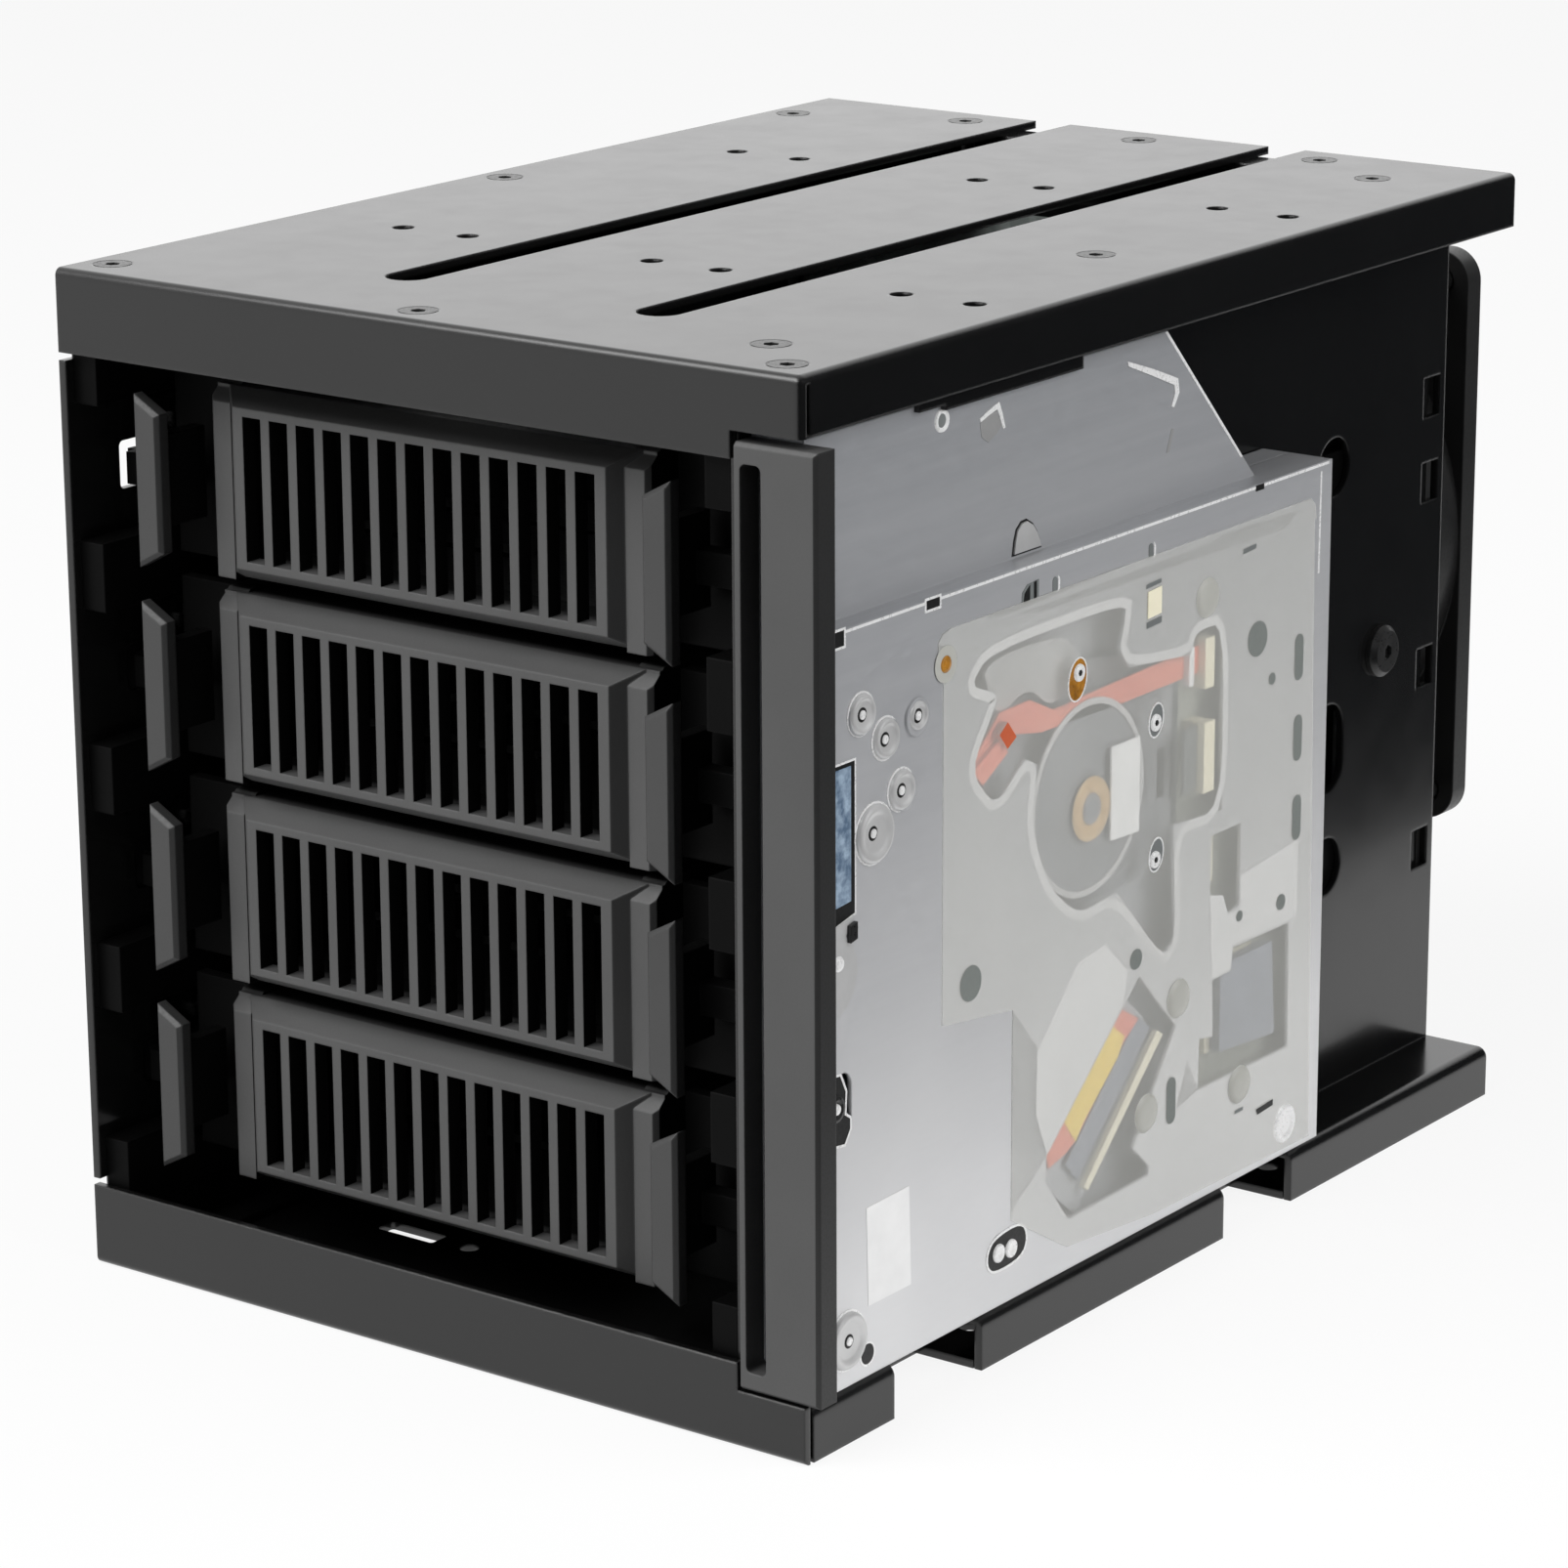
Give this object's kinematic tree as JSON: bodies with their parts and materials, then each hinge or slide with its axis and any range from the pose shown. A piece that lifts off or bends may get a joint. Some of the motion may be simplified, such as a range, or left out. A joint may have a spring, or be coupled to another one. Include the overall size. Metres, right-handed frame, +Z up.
{
  "type": "hot swap drive cage",
  "caption": "Bent-sheet drive cage with latched pull-out hard drive trays, a slim slot-loading optical drive, a backplane and a rear fan.",
  "frame": {"origin": "middle of the whole cage's footprint, on the plane it rests on", "axes": "+Z up as the cage stands on the pictured side, tray fronts face -Y, optical drive on the +X side"},
  "size_m": [0.1292, 0.2046, 0.146],
  "materials": {
    "cage_paint": "semi-gloss black powder coat",
    "guide_plastic": "moulded, matt black",
    "circuit_board": "solder mask",
    "socket_plastic": "moulded, black",
    "inlet_plastic": "moulded, natural white",
    "standoff_brass": "turned hexagon",
    "fan_plastic": "moulded, black, slight sheen",
    "pin_steel": "plain steel",
    "sled_paint": "black painted sheet",
    "tray_plastic": "satin charcoal plastic",
    "drive_steel": "zinc-plated pressed sheet",
    "chassis_metal": "cast, dull",
    "motor_metal": "plated, with a bronze ring",
    "ribbon_film": "orange polyimide",
    "clear_film": "frosted translucent film",
    "screw_black": "black oxide"
  },
  "bodies": {
    "cage": {"top_plate": "cage_paint", "bottom_plate": "cage_paint", "left_wall": "cage_paint", "right_wall": "cage_paint", "front_bar": "cage_paint", "rear_panel": "cage_paint", "optical_bracket": "cage_paint", "left_guide": "guide_plastic", "right_guide": "guide_plastic", "backplane_board": "circuit_board", "data_ports": "socket_plastic", "drive_socket_1": "socket_plastic", "drive_socket_2": "socket_plastic", "drive_socket_3": "socket_plastic", "drive_socket_4": "socket_plastic", "power_inlets": "inlet_plastic", "board_standoffs": "standoff_brass", "fan_frame": "fan_plastic", "optical_case": "drive_steel", "optical_lid": "drive_steel", "optical_bezel": "tray_plastic", "optical_chassis": "chassis_metal", "laser_sled": "chassis_metal", "optical_board": "circuit_board", "spindle_motor": "motor_metal", "motor_ribbon": "ribbon_film", "optical_film": "clear_film", "cage_screws": "screw_black", "panel_screws": "screw_black"},
    "tray_1": {"tray_1_sled": "sled_paint", "tray_1_rails": "sled_paint", "tray_1_bezel": "tray_plastic", "tray_1_pins": "pin_steel", "tray_1_springs": "pin_steel"},
    "tray_1_left_latch": {"tray_1_left_latch": "tray_plastic"},
    "tray_1_right_latch": {"tray_1_right_latch": "tray_plastic"},
    "tray_2": {"tray_2_sled": "sled_paint", "tray_2_rails": "sled_paint", "tray_2_bezel": "tray_plastic", "tray_2_pins": "pin_steel", "tray_2_springs": "pin_steel"},
    "tray_2_left_latch": {"tray_2_left_latch": "tray_plastic"},
    "tray_2_right_latch": {"tray_2_right_latch": "tray_plastic"},
    "tray_3": {"tray_3_sled": "sled_paint", "tray_3_rails": "sled_paint", "tray_3_bezel": "tray_plastic", "tray_3_pins": "pin_steel", "tray_3_springs": "pin_steel"},
    "tray_3_left_latch": {"tray_3_left_latch": "tray_plastic"},
    "tray_3_right_latch": {"tray_3_right_latch": "tray_plastic"},
    "tray_4": {"tray_4_sled": "sled_paint", "tray_4_rails": "sled_paint", "tray_4_bezel": "tray_plastic", "tray_4_pins": "pin_steel", "tray_4_springs": "pin_steel"},
    "tray_4_left_latch": {"tray_4_left_latch": "tray_plastic"},
    "tray_4_right_latch": {"tray_4_right_latch": "tray_plastic"},
    "fan_rotor": {"fan_rotor": "fan_plastic", "fan_shaft": "pin_steel"}
  },
  "joints": [
    {"name": "tray_1_slide", "type": "slide", "parent": "cage", "child": "tray_1", "axis": [0, -1, 0], "range_m": [0, 0.15]},
    {"name": "tray_1_left_latch_hinge", "type": "hinge", "parent": "tray_1", "child": "tray_1_left_latch", "pos_m": [-0.06095, -0.0783, 0.1171], "axis": [0, 0, 1], "range_deg": [0, 6.5], "stiffness_Nm_per_rad": 0.2, "springref_deg": -1.72},
    {"name": "tray_1_right_latch_hinge", "type": "hinge", "parent": "tray_1", "child": "tray_1_right_latch", "pos_m": [0.04765, -0.0783, 0.1171], "axis": [0, 0, -1], "range_deg": [0, 6.5], "stiffness_Nm_per_rad": 0.2, "springref_deg": -1.72},
    {"name": "tray_2_slide", "type": "slide", "parent": "cage", "child": "tray_2", "axis": [0, -1, 0], "range_m": [0, 0.15]},
    {"name": "tray_2_left_latch_hinge", "type": "hinge", "parent": "tray_2", "child": "tray_2_left_latch", "pos_m": [-0.06095, -0.0783, 0.0877], "axis": [0, 0, 1], "range_deg": [0, 6.5], "stiffness_Nm_per_rad": 0.2, "springref_deg": -1.72},
    {"name": "tray_2_right_latch_hinge", "type": "hinge", "parent": "tray_2", "child": "tray_2_right_latch", "pos_m": [0.04765, -0.0783, 0.0877], "axis": [0, 0, -1], "range_deg": [0, 6.5], "stiffness_Nm_per_rad": 0.2, "springref_deg": -1.72},
    {"name": "tray_3_slide", "type": "slide", "parent": "cage", "child": "tray_3", "axis": [0, -1, 0], "range_m": [0, 0.15]},
    {"name": "tray_3_left_latch_hinge", "type": "hinge", "parent": "tray_3", "child": "tray_3_left_latch", "pos_m": [-0.06095, -0.0783, 0.0583], "axis": [0, 0, 1], "range_deg": [0, 6.5], "stiffness_Nm_per_rad": 0.2, "springref_deg": -1.72},
    {"name": "tray_3_right_latch_hinge", "type": "hinge", "parent": "tray_3", "child": "tray_3_right_latch", "pos_m": [0.04765, -0.0783, 0.0583], "axis": [0, 0, -1], "range_deg": [0, 6.5], "stiffness_Nm_per_rad": 0.2, "springref_deg": -1.72},
    {"name": "tray_4_slide", "type": "slide", "parent": "cage", "child": "tray_4", "axis": [0, -1, 0], "range_m": [0, 0.15]},
    {"name": "tray_4_left_latch_hinge", "type": "hinge", "parent": "tray_4", "child": "tray_4_left_latch", "pos_m": [-0.06095, -0.0783, 0.0289], "axis": [0, 0, 1], "range_deg": [0, 6.5], "stiffness_Nm_per_rad": 0.2, "springref_deg": -1.72},
    {"name": "tray_4_right_latch_hinge", "type": "hinge", "parent": "tray_4", "child": "tray_4_right_latch", "pos_m": [0.04765, -0.0783, 0.0289], "axis": [0, 0, -1], "range_deg": [0, 6.5], "stiffness_Nm_per_rad": 0.2, "springref_deg": -1.72},
    {"name": "fan_spin", "type": "hinge", "parent": "cage", "child": "fan_rotor", "pos_m": [-0.00115, 0.0877, 0.0833], "axis": [0, 1, 0], "continuous": true}
  ]
}
